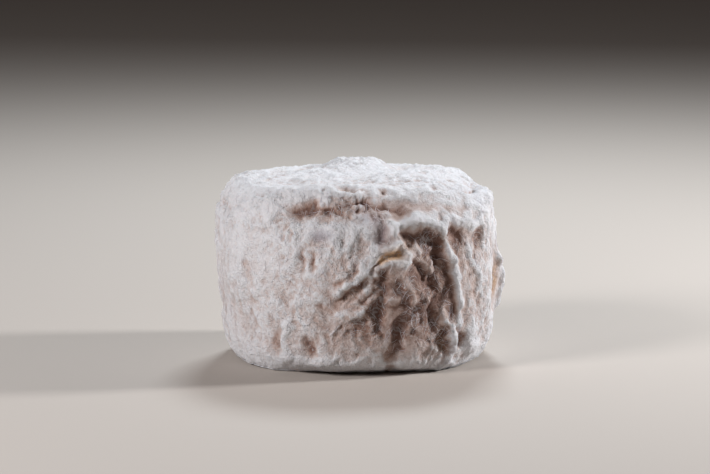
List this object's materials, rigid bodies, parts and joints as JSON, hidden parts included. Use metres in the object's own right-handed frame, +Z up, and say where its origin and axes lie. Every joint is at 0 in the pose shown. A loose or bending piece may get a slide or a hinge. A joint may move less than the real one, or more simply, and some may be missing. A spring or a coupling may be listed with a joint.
{
  "type": "crottin goat cheese",
  "caption": "Small whole drum-shaped goat cheese with a wrinkled white mould rind, flat underneath, to stand on a board or plate.",
  "frame": {"origin": "middle of the flat underside, on the cheese's own axis", "axes": "+Z up along the drum's axis, -Y the front that shows the deep folds, +X to the right of it"},
  "size_m": [0.0544, 0.0547, 0.0359],
  "materials": {
    "bloomy_rind": "matt, soft white mould over a pale tan wrinkled rind"
  },
  "bodies": {
    "root": {"crottin": "bloomy_rind"}
  },
  "joints": []
}
